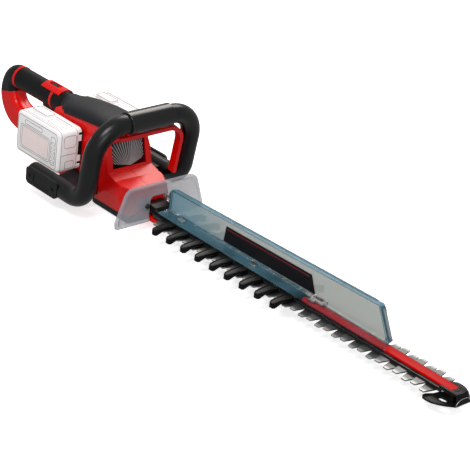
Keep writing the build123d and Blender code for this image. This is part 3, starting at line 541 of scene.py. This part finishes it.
def contour(bm, points, radius, closed=True):
    """A thin bead along a line of points in millimetres: small rings bridged one to the next."""
    points = [Vector(p) for p in points]
    count = len(points)
    rings = []
    for k, point in enumerate(points):
        before = points[k - 1] if closed or k else point
        after = points[(k + 1) % count] if closed or k < count - 1 else point
        turn = (after - before).to_track_quat("Z", "Y").to_matrix().to_4x4()
        capped = not closed and k in (0, count - 1)
        made = bmesh.ops.create_circle(bm, cap_ends=capped, segments=6, radius=radius * MM,
                                       matrix=Matrix.Translation(point * MM) @ turn)
        rings.append(edges_of(made["verts"]))
    for a, b in zip(rings, rings[1:] + rings[:1] if closed else rings[1:]):
        bmesh.ops.bridge_loops(bm, edges=a + b)


def edges_of(verts):
    """Edges whose two ends are both among some vertices."""
    chosen = set(verts)
    return list(dict.fromkeys(e for v in verts for e in v.link_edges if e.other_vert(v) in chosen))


def round_off(bm, edges, width, segments=3):
    """Bevel some edges by a width in millimetres."""
    bmesh.ops.bevel(bm, geom=list(edges), offset=width * MM, offset_type="OFFSET", segments=segments,
                    profile=0.5, affect="EDGES", material=-1, clamp_overlap=True)


def sharp_edges(bm, angle=30.0):
    """Edges whose two faces meet at more than an angle in degrees."""
    return [e for e in bm.edges if len(e.link_faces) == 2 and e.calc_face_angle(0) > math.radians(angle)]


# Operators


class TRIMMER_OT_finishes(bpy.types.Operator):
    """Give every node of the frame its procedural finish"""

    bl_idname = "trimmer.finishes"
    bl_label = "Finishes"

    def execute(self, context):
        FINISHES.update(make_finishes())
        for row in frame["record"]["subparts"]:
            node = row["node"]
            chosen = FINISHES[OWN_FINISH.get(node, row["material_slot"])]
            data = NODES[node].data
            data.materials.clear()
            data.materials.append(chosen)
            if node in ROUNDED:
                weld = NODES[node].modifiers.new("weld", "WELD")
                weld.merge_threshold = 1e-5
                soften = NODES[node].modifiers.new("soften", "BEVEL")
                soften.width = ROUNDED[node] * MM
                soften.segments = 3
                soften.limit_method = "ANGLE"
                soften.angle_limit = math.radians(28)
                soften.use_clamp_overlap = True
        return {"FINISHED"}


def comb_finger(x, mid, side, reach):
    """One blunt finger beside the blade: hollow on top, its underside falling past the teeth."""
    root, bend, tip = 10, 38, reach - 4
    halves = [(7.6, root), (6.4, bend), (5.6, tip), (3.6, reach)]
    floor, thick = 31.2, 6.0
    fall_from, fall, deepest = 37.5, 0.6, 5.6
    slope_from, slope = 44, 0.20
    rim, hollow = 1.5, 1.6
    bm = bmesh.new()
    outline = [(x - half, out) for half, out in halves] + [(x + half, out) for half, out in reversed(halves)]
    verts = prism(bm, [(a, mid + out * side, floor) for a, out in outline], (0, 0, thick))
    low = [v for v in verts if v.co.z / MM < floor + thick / 2]
    for station in (bend, tip):
        across = [v for v in low if abs(abs(v.co.y / MM - mid) - station) < 0.1]
        bmesh.ops.connect_verts(bm, verts=across)
    for v in verts:
        out = abs(v.co.y / MM - mid)
        if v in low and out > fall_from:
            v.co.z -= min(deepest, (out - fall_from) * fall) * MM
        if v not in low and out > slope_from:
            v.co.z -= (out - slope_from) * slope * MM
    bmesh.ops.recalc_face_normals(bm, faces=bm.faces)
    lid = [f for f in bm.faces if f.normal.z > 0.8]
    bmesh.ops.inset_region(bm, faces=lid, thickness=rim * MM, use_even_offset=True)
    lid = [f for f in bm.faces if f.normal.z > 0.8 and len(f.verts) > 4]
    sunk = dict.fromkeys(v for f in lid for v in f.verts)
    bmesh.ops.translate(bm, verts=list(sunk), vec=(0, 0, -hollow * MM))
    round_off(bm, sharp_edges(bm, 25), 0.5, 2)
    return bm


class TRIMMER_OT_comb(bpy.types.Operator):
    """Blunt comb fingers with a sunken top each, over the rear half of the blade"""

    bl_idname = "trimmer.comb"
    bl_label = "Comb fingers"

    def execute(self, context):
        s = context.scene.trimmer_sizes
        low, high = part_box("comb_guard")
        rear, front = low.x / MM, high.x / MM
        mid = s.blade_middle / MM
        seat, deck, ridge = 33.0, 36.0, 37.4
        bm = bmesh.new()
        block(bm, (rear, mid - 13, seat), (front, mid + 13, deck))
        block(bm, (92, mid - 11, deck), (front, mid + 11, ridge))
        round_off(bm, sharp_edges(bm), 0.8, 2)
        for k in range(s.finger_count):
            x = (s.finger_first + s.finger_pitch * k) / MM
            for side in (-1, 1):
                join(bm, comb_finger(x, mid, side, s.finger_reach / MM))
        piece("comb_fingers", bm, "comb_black", "frame", ["comb_guard"])
        return {"FINISHED"}


class TRIMMER_OT_sheet(bpy.types.Operator):
    """Clear collector sheet with folded rims"""

    bl_idname = "trimmer.sheet"
    bl_label = "Collector sheet"

    def execute(self, context):
        foot, fold, wall = 37.5, 3.0, 8.0
        # from the near edge of the flange to the foot of the wall, then round the rim below its top
        flange = [(-20, 37.6), (-19.4, 39.2), (0.2, 39.2), (2.2, 39.8), (fold, 42.0)]
        rim = [(fold, 5.0), (4.0, 2.2), (7.0, 1.0), (10.0, 2.2), (11.0, 6.0)]
        # station, height of the top and lean of the row
        stations = [(76.5, 74.0, 0.0), (84.0, 78.4, 0.0), (90.0, 80.0, 0.0), (320.0, 86.0, 0.25),
                    (566.0, 92.0, 0.51), (575.0, 91.6, 0.51), (580.5, 89.6, 0.51), (583.0, 85.6, 0.51)]
        rows = []
        for x, top, lean in stations:
            section = flange + [(y, top - drop) for y, drop in rim]
            rows.append([(x - lean * (z - foot), y, z) for y, z in section])
        bm = bmesh.new()
        loft(bm, rows, False)
        # the flange runs further forward than the wall
        edge, rake = 1.0 * MM, 0.62
        for v in bm.verts:
            if v.co.y < edge and v.co.x > 0.5:
                v.co.x += (edge - v.co.y) * rake
        bmesh.ops.recalc_face_normals(bm, faces=bm.faces)
        bmesh.ops.solidify(bm, geom=bm.faces[:], thickness=1.6 * MM)
        bmesh.ops.recalc_face_normals(bm, faces=bm.faces)
        # folded end walls at the front and the rear
        for end in ([(581.0, 39.5), (558.0, 84.5), (554.5, 88.5), (551.0, 89.5), (578.8, 39.5)],
                    [(76.5, 39.5), (76.5, 71.5), (79.0, 73.0), (79.0, 39.5)]):
            prism(bm, on_plane(1, fold, end), (0, wall, 0))
        piece("collector_shell", bm, "clear_teal", "frame", ["collector_sheet"])
        return {"FINISHED"}


class TRIMMER_OT_spine(bpy.types.Operator):
    """Red spine along the front half of the bar, and the bright hook that holds the sheet to it"""

    bl_idname = "trimmer.spine"
    bl_label = "Spine and hook"

    def execute(self, context):
        mid = context.scene.trimmer_sizes.blade_middle / MM
        bm = bmesh.new()
        # the strip is narrower under the sheet than ahead of it
        seat = 33.0
        for x0, x1, half, top in ((410.0, 591.0, 6.6, 36.6), (588.0, 724.0, 8.5, 36.4)):
            part = bmesh.new()
            block(part, (x0, mid - half, seat), (x1, mid + half, top))
            rear = [e for e in part.edges if abs(e.verts[0].co.z - e.verts[1].co.z) > 1 * MM
                    and e.verts[0].co.x < 0.5]
            if rear:
                round_off(part, rear, 5.5, 6)
            upper = [e for e in sharp_edges(part) if min(v.co.z for v in e.verts) > (top - 0.1) * MM]
            round_off(part, upper, 1.2, 3)
            join(bm, part)
        piece("spine_strip", bm, "red_bar", "frame", ["spine_bar"])

        # the hook's four sides stand on the sheet's flange
        flange = 39.3
        sides = [(424, 452, -8.5, -6.0, 44.0), (424, 427, -8.5, 2.4, 46.5),
                 (449, 452, -8.5, 2.4, 46.5), (424, 452, 0.6, 2.6, 47.5)]
        bm = bmesh.new()
        for x0, x1, y0, y1, top in sides:
            block(bm, (x0, y0, flange), (x1, y1, top))
        round_off(bm, sharp_edges(bm), 0.5, 2)
        piece("sheet_hook", bm, "clip_metal", "frame")
        return {"FINISHED"}


class TRIMMER_OT_grille(bpy.types.Operator):
    """Two-facet air grille with fanned ribs"""

    bl_idname = "trimmer.grille"
    bl_label = "Air grille"

    def execute(self, context):
        s = context.scene.trimmer_sizes
        _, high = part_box("air_grille")
        half = min(high.y / MM, 34.6)
        foot, head, drop = 77.5, 117.5, 5.0
        slope, prow, fan = -18.0 / 74.0, 0.20, math.radians(64)
        face_foot = Vector((-22.4, 72.0))

        def face_x(y, z):
            return face_foot.x + (z - face_foot.y) * slope - abs(y) * prow

        bm = bmesh.new()
        for side in (-1, 1):
            corners = [(0, foot), (side * half, foot + drop), (side * half, head), (0, head)]
            prism(bm, [(face_x(y, z) - 1.2, y, z) for y, z in corners], (-2.5, 0, 0))
        piece("grille_plate", bm, "grey_plastic", "frame", ["air_grille"])

        # ribs fan out from a point below the plate, and each stops at the plate's edge
        bm = bmesh.new()
        centre = Vector((0, foot - 16))
        for k in range(s.rib_count):
            turn = ((k + 0.5) / s.rib_count * 2 - 1) * fan
            aim = Vector((math.sin(turn), math.cos(turn)))
            slant = drop / half * (1 if turn > 0 else -1)
            start = (foot + 0.8 - centre.y) / (aim.y - slant * aim.x)
            stop = min((head - 0.6 - centre.y) / aim.y, (half - 0.6) / max(abs(aim.x), 1e-6))
            if stop - start < 3:
                continue
            a, b = centre + aim * start, centre + aim * stop
            wide = Vector((0, aim.y, -aim.x)) * 0.5
            a, b = Vector((face_x(*a), *a)), Vector((face_x(*b), *b))
            prism(bm, [a - wide, a + wide, b + wide, b - wide], (-1.6, 0, 0))
        piece("grille_ribs", bm, "grille_rib", "frame")
        return {"FINISHED"}


class TRIMMER_OT_packs(bpy.types.Operator):
    """Battery packs with rounded shells, end panels and ribbed sides"""

    bl_idname = "trimmer.packs"
    bl_label = "Battery packs"

    def execute(self, context):
        corner, brow = 9.0, 6.0
        bead, ribs = 0.42, 18
        for side, word in ((-1, "right"), (1, "left")):
            body, slot = "pack_" + word, "white_plastic"
            low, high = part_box("pack_shell_" + word)
            lx, hx, lz, hz = low.x / MM, high.x / MM, low.z / MM, high.z / MM
            outer, inner = (low.y, high.y) if side < 0 else (high.y, low.y)
            outer, inner = outer / MM, inner / MM
            bm = bmesh.new()
            block(bm, (lx, min(outer, inner), lz), (hx, max(outer, inner), hz))
            across = [e for e in bm.edges if abs(e.verts[0].co.y - e.verts[1].co.y) > 0.01]
            round_off(bm, across, corner, 5)
            rim = [e for e in bm.edges if all(abs(v.co.y / MM - outer) < 0.01 for v in e.verts)]
            round_off(bm, rim, brow, 4)
            piece("pack_body_" + word, bm, "white_plastic", body, ["pack_shell_" + word])

            # raised block beside the rail
            bm = bmesh.new()
            rail0, rail1 = sorted((inner, inner + side * 20))
            block(bm, (lx + 16, rail0, hz - 2), (lx + 58, rail1, hz + 4.5))
            round_off(bm, [e for e in bm.edges if max(v.co.z for v in e.verts) / MM > hz], 3.0, 3)
            piece("pack_block_" + word, bm, "white_plastic", body)

            # thin lines along the edges and round the moulded panels of the front, the top and the side
            y0, y1 = sorted((inner, outer - side * brow))
            lines = []
            for inset, y in ((0.0, outer - side * brow), (5.2, outer), (0.0, inner)):
                edge = rounded(lx + inset, hx - inset, lz + inset, hz - inset, corner - inset * 0.6)
                lines.append((1, y, edge, bead))
            for panel in ((y0 + 9, y1 - 5, lz + 7, lz + 20, 3), (y0 + 5, y1 - 2, hz - 30, hz - 9, 5)):
                lines.append((0, hx, rounded(*panel), bead))
            for panel in ((lx + 14, hx - 12, y0 + 4, y1 - 2, 4), (lx + 64, hx - 18, y0 + 8, y1 - 7, 3)):
                lines.append((2, hz, rounded(*panel), bead))
            lines.append((2, hz + 4.4, rounded(lx + 17, lx + 57, rail0 + 1, rail1 - 1, 3), bead))
            for panel in ((lx + 13, hx - 24, lz + 12, hz - 20, 5), (lx + 17, hx - 28, lz + 15, hz - 23, 3),
                          (lx + 24, hx - 46, hz - 17, hz - 10, 2), (hx - 21, hx - 9, lz + 12, hz - 13, 3)):
                lines.append((1, outer, rounded(*panel), bead))
            for k in range(5):
                z = lz + 15 + k * 8.0
                lines.append((1, outer, rounded(hx - 19, hx - 11, z, z + 4.5, 1.2), bead * 0.8))
            bm = bmesh.new()
            for axis, at, points, thick in lines:
                contour(bm, on_plane(axis, at, points), thick)
            contour(bm, [(hx, y0, lz + 32), (hx, y1, lz + 32)], bead, False)
            piece("pack_lines_" + word, bm, "pack_line", body)

            # fine ribs inside the broad panel
            bm = bmesh.new()
            sunk, proud = sorted((outer - side * 1.0, outer + side * 0.2))
            for k in range(ribs):
                z = lz + 17 + k * (hz - lz - 42) / (ribs - 1)
                block(bm, (lx + 19, sunk, z), (hx - 30, proud, z + 0.8))
            piece("pack_ribs_" + word, bm, "pack_blush", body)
        return {"FINISHED"}


class TRIMMER_OT_cover(bpy.types.Operator):
    """Domed spine cover that flares from the neck and laps over the shoulders of the housing"""

    bl_idname = "trimmer.cover"
    bl_label = "Spine cover"

    def execute(self, context):
        # station, half width, height of the lower edge and of the crown
        stations = [(-193.0, 20.8, 121.0, 142.0), (-185.0, 23.0, 123.0, 142.0), (-178.0, 29.0, 128.5, 142.2),
                    (-170.0, 36.0, 129.5, 142.8), (-163.0, 39.6, 128.5, 143.6), (-155.0, 40.8, 128.6, 144.8),
                    (-135.0, 40.9, 131.0, 147.8), (-115.0, 40.6, 133.2, 150.4), (-95.0, 40.4, 135.4, 151.2),
                    (-70.0, 40.2, 138.0, 151.4), (-52.0, 39.6, 140.2, 151.4), (-44.0, 39.0, 141.2, 150.0),
                    (-40.5, 38.0, 142.2, 147.3)]
        lip, wall = 1.0, 2.5
        rows = []
        for x, half, low, crown in stations:
            seat = 125.0 + (x + 222.0) * 21.3 / 180.0
            inside = max(low, min(seat, crown - 3.0))
            hoop = [(y, low + rise) for y, rise in arch(half, crown - low, 0.84, 28)]
            hoop += [(lip - half, low), (wall - half, inside), (half - wall, inside), (half - lip, low)]
            rows.append(on_plane(0, x, hoop))
        bm = bmesh.new()
        for rim in loft(bm, rows):
            bmesh.ops.holes_fill(bm, edges=rim)
        piece("cover_shell", bm, "charcoal_plastic", "frame", ["spine_cover"], 50.0)
        return {"FINISHED"}


class TRIMMER_OT_nose(bpy.types.Operator):
    """Tip nose: arched front with a bright rim, two pierced wings under the blades and a flush screw"""

    bl_idname = "trimmer.nose"
    bl_label = "Tip nose"

    def execute(self, context):
        mid = context.scene.trimmer_sizes.blade_middle / MM
        floor, plate, half = 19.0, 22.0, 12.5
        bm = bmesh.new()
        profile = [(729, floor), (737, floor), (738, 20), (738, 34.6), (736.8, 35.8), (703, 35.8), (703, 33.1),
                   (735, 33.1), (737, 31.5), (737, 24), (735, plate), (729, plate)]
        nose = bmesh.new()
        prism(nose, on_plane(1, mid - half, profile), (0, 2 * half, 0))
        bmesh.ops.recalc_face_normals(nose, faces=nose.faces)
        ahead = [e for e in sharp_edges(nose, 20) if min(v.co.x for v in e.verts) > 0.7028]
        round_off(nose, ahead, 0.9, 2)
        join(bm, nose)

        # the front runs out from the square block to a low arch with a bright rim
        rows = []
        for x, wide, rise, full in ((736.9, half, 16.8, 0.30), (738.4, 13.2, 15.6, 0.45),
                                    (740.2, 14.3, 13.2, 0.65), (741.5, 15.2, 10.6, 0.85)):
            rows.append([(x, mid + y, floor + z) for y, z in arch(wide, rise, full, 20)])
        for end in loft(bm, rows):
            bmesh.ops.holes_fill(bm, edges=end)
        rim = bmesh.new()
        contour(rim, rows[-1], 0.45)
        piece("tip_rim", rim, "clip_metal", "frame")

        # each wing is a ring round its oval opening
        wing = [(701, -5), (699, -17), (693.5, -27), (693, -33), (697, -37.5), (705, -38.5), (714, -37),
                (723, -32), (732, -25), (739.2, -17.2), (741.4, -15), (741.4, -2), (732, 0), (722, 0), (712, 0),
                (703, -1)]
        middle = Vector((718.5, -18.0))
        turns = [math.atan2(y - middle.y, x - middle.x) for x, y in wing]
        opening = [(middle.x + 8.0 * math.cos(t), middle.y + 4.6 * math.sin(t)) for t in turns]
        for side in (-1, 1):
            loops = ((wing, floor), (wing, plate), (opening, plate), (opening, floor), (wing, floor))
            loft(bm, [[(x, mid - side * y, z) for x, y in points] for points, z in loops])
        bolt = 726
        rod(bm, (bolt, mid, 20.0), (bolt, mid, 35.9), 3.0)
        rod(bm, (bolt, mid, 35.4), (bolt, mid, 36.3), 4.6, 4.0, 24)
        piece("tip_nose", bm, "black_steel", "frame", ["tip_guard", "tip_bolt"])
        return {"FINISHED"}


class TRIMMER_OT_neck(bpy.types.Operator):
    """Black sleeve between the front ring and the spine cover"""

    bl_idname = "trimmer.neck"
    bl_label = "Neck sleeve"

    def execute(self, context):
        bm = bmesh.new()
        axis = 121.0
        rings = [(-223.5, 19.8), (-210.0, 20.2), (-193.5, 20.8), (-183.0, 21.2)]
        for (x0, r0), (x1, r1) in zip(rings, rings[1:]):
            rod(bm, (x0, 0, axis), (x1, 0, axis), r0, r1, 48)
        piece("neck_sleeve", bm, "soft_black", "frame")
        return {"FINISHED"}


class TRIMMER_OT_slider_pad(bpy.types.Operator):
    """Black thumb pad sunk in the lock slider"""

    bl_idname = "trimmer.slider_pad"
    bl_label = "Slider pad"

    def execute(self, context):
        bm = bmesh.new()
        floor, thick, ribs, pitch = 139.4, 1.6, 3, 5.2
        prism(bm, on_plane(2, floor, rounded(-249.4, -230.6, -5.2, 5.2, 2.6)), (0, 0, thick))
        for k in range(ribs):
            x = -246.0 + k * pitch
            block(bm, (x, -4.2, floor + thick - 0.1), (x + 2.2, 4.2, floor + thick + 0.8))
        piece("slider_pad", bm, "black_plastic", "lock_slider_body")
        return {"FINISHED"}


class TRIMMER_OT_screws(bpy.types.Operator):
    """Two screw heads in each end plate"""

    bl_idname = "trimmer.screws"
    bl_label = "Screws"

    def execute(self, context):
        bm = bmesh.new()
        for word, side in (("right", -1), ("left", 1)):
            low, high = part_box("end_plate_" + word)
            face = (low.y if side < 0 else high.y) / MM
            mid = (low.z + high.z) / 2 / MM
            for x in (-138, -76):
                rod(bm, (x, face - side * 2.6, mid), (x, face - side * 1.2, mid), 3.1, 2.7, 20)
        piece("plate_screws", bm, "black_steel", "frame")
        return {"FINISHED"}


class TRIMMER_OT_stage(bpy.types.Operator):
    """Pale floor, soft studio lights and the camera at the product view"""

    bl_idname = "trimmer.stage"
    bl_label = "Stage"

    def execute(self, context):
        scene = context.scene
        bm = bmesh.new()
        bmesh.ops.create_grid(bm, x_segments=2, y_segments=2, size=14.0)
        mesh = bpy.data.meshes.new("floor")
        bm.to_mesh(mesh)
        bm.free()
        floor = bpy.data.objects.new("floor", mesh)
        scene.collection.objects.link(floor)
        floor.location.z = -0.0005
        floor.visible_diffuse = False
        floor.visible_glossy = False
        f = Finish("floor_white")
        tone = f.noise(0.8, 2.0)
        f.set(Base_Color=f.tint(tone, (0.90, 0.90, 0.90), (0.93, 0.93, 0.93)), Roughness=0.75)
        f.shader.inputs["Emission Color"].default_value = (1, 1, 1, 1)
        f.shader.inputs["Emission Strength"].default_value = 0.66
        mesh.materials.append(f.material)

        world = bpy.data.worlds.new("studio")
        scene.world = world
        world.use_nodes = True
        world.node_tree.nodes["Background"].inputs[0].default_value = (1, 1, 1, 1)
        world.node_tree.nodes["Background"].inputs[1].default_value = 0.42

        def lamp(name, place, target, size, power, colour=(1.0, 1.0, 1.0)):
            data = bpy.data.lights.new(name, "AREA")
            data.shape = "RECTANGLE"
            data.size, data.size_y = size
            data.energy = power
            data.color = colour
            made = bpy.data.objects.new(name, data)
            scene.collection.objects.link(made)
            made.location = place
            aim = Vector(target) - Vector(place)
            made.rotation_mode = "QUATERNION"
            made.rotation_quaternion = aim.to_track_quat("-Z", "Y")

        lamp("key", (0.9, -1.4, 2.5), (0.1, 0, 0.1), (1.2, 1.0), 48)
        lamp("fill", (2.2, -1.2, 1.0), (0.1, 0, 0.1), (1.2, 1.2), 12)
        lamp("back", (-0.9, 1.4, 1.7), (0.0, 0, 0.1), (1.6, 0.9), 30, (1.0, 0.93, 0.87))

        turn, lift, roll = (math.radians(v) for v in (45.2626, 25.8451, 7.0058))
        back = Vector((math.sin(turn) * math.cos(lift), -math.cos(turn) * math.cos(lift), math.sin(lift)))
        right = Vector((math.cos(turn), math.sin(turn), 0))
        up = back.cross(right)
        level = Matrix((right, up, back)).transposed().to_4x4()
        data = bpy.data.cameras.new("camera")
        camera = bpy.data.objects.new("camera", data)
        scene.collection.objects.link(camera)
        data.sensor_width = 36.0
        data.lens = scene.trimmer_sizes.lens
        data.clip_end = 100
        stand = Matrix.Translation((2.185379, -1.927990, 1.391624))
        camera.matrix_world = stand @ level @ Matrix.Rotation(roll, 4, "Z")
        scene.camera = camera
        scene.view_settings.view_transform = "Standard"
        scene.view_settings.look = "None"
        return {"FINISHED"}


class TRIMMER_PT_panel(bpy.types.Panel):
    """Sidebar list of the trimmer's pieces"""

    bl_idname = "TRIMMER_PT_panel"
    bl_label = "Hedge Trimmer"
    bl_space_type = "VIEW_3D"
    bl_region_type = "UI"
    bl_category = "Trimmer"

    def draw(self, context):
        for name in ORDER:
            self.layout.operator("trimmer." + name)


ORDER = ["finishes", "comb", "sheet", "spine", "nose", "grille", "packs", "cover", "neck", "slider_pad",
         "screws", "stage"]
CLASSES = [TrimmerColours, TrimmerSizes, TRIMMER_OT_finishes, TRIMMER_OT_comb, TRIMMER_OT_sheet,
           TRIMMER_OT_spine, TRIMMER_OT_nose, TRIMMER_OT_grille, TRIMMER_OT_packs, TRIMMER_OT_cover,
           TRIMMER_OT_neck, TRIMMER_OT_slider_pad, TRIMMER_OT_screws, TRIMMER_OT_stage, TRIMMER_PT_panel]


def register():
    for made in CLASSES:
        bpy.utils.register_class(made)
    bpy.types.Scene.trimmer_colours = PointerProperty(type=TrimmerColours)
    bpy.types.Scene.trimmer_sizes = PointerProperty(type=TrimmerSizes)


def unregister():
    del bpy.types.Scene.trimmer_colours
    del bpy.types.Scene.trimmer_sizes
    for made in reversed(CLASSES):
        bpy.utils.unregister_class(made)


def main():
    register()
    for name in ORDER:
        getattr(bpy.ops.trimmer, name)()


if __name__ == "__main__":
    main()
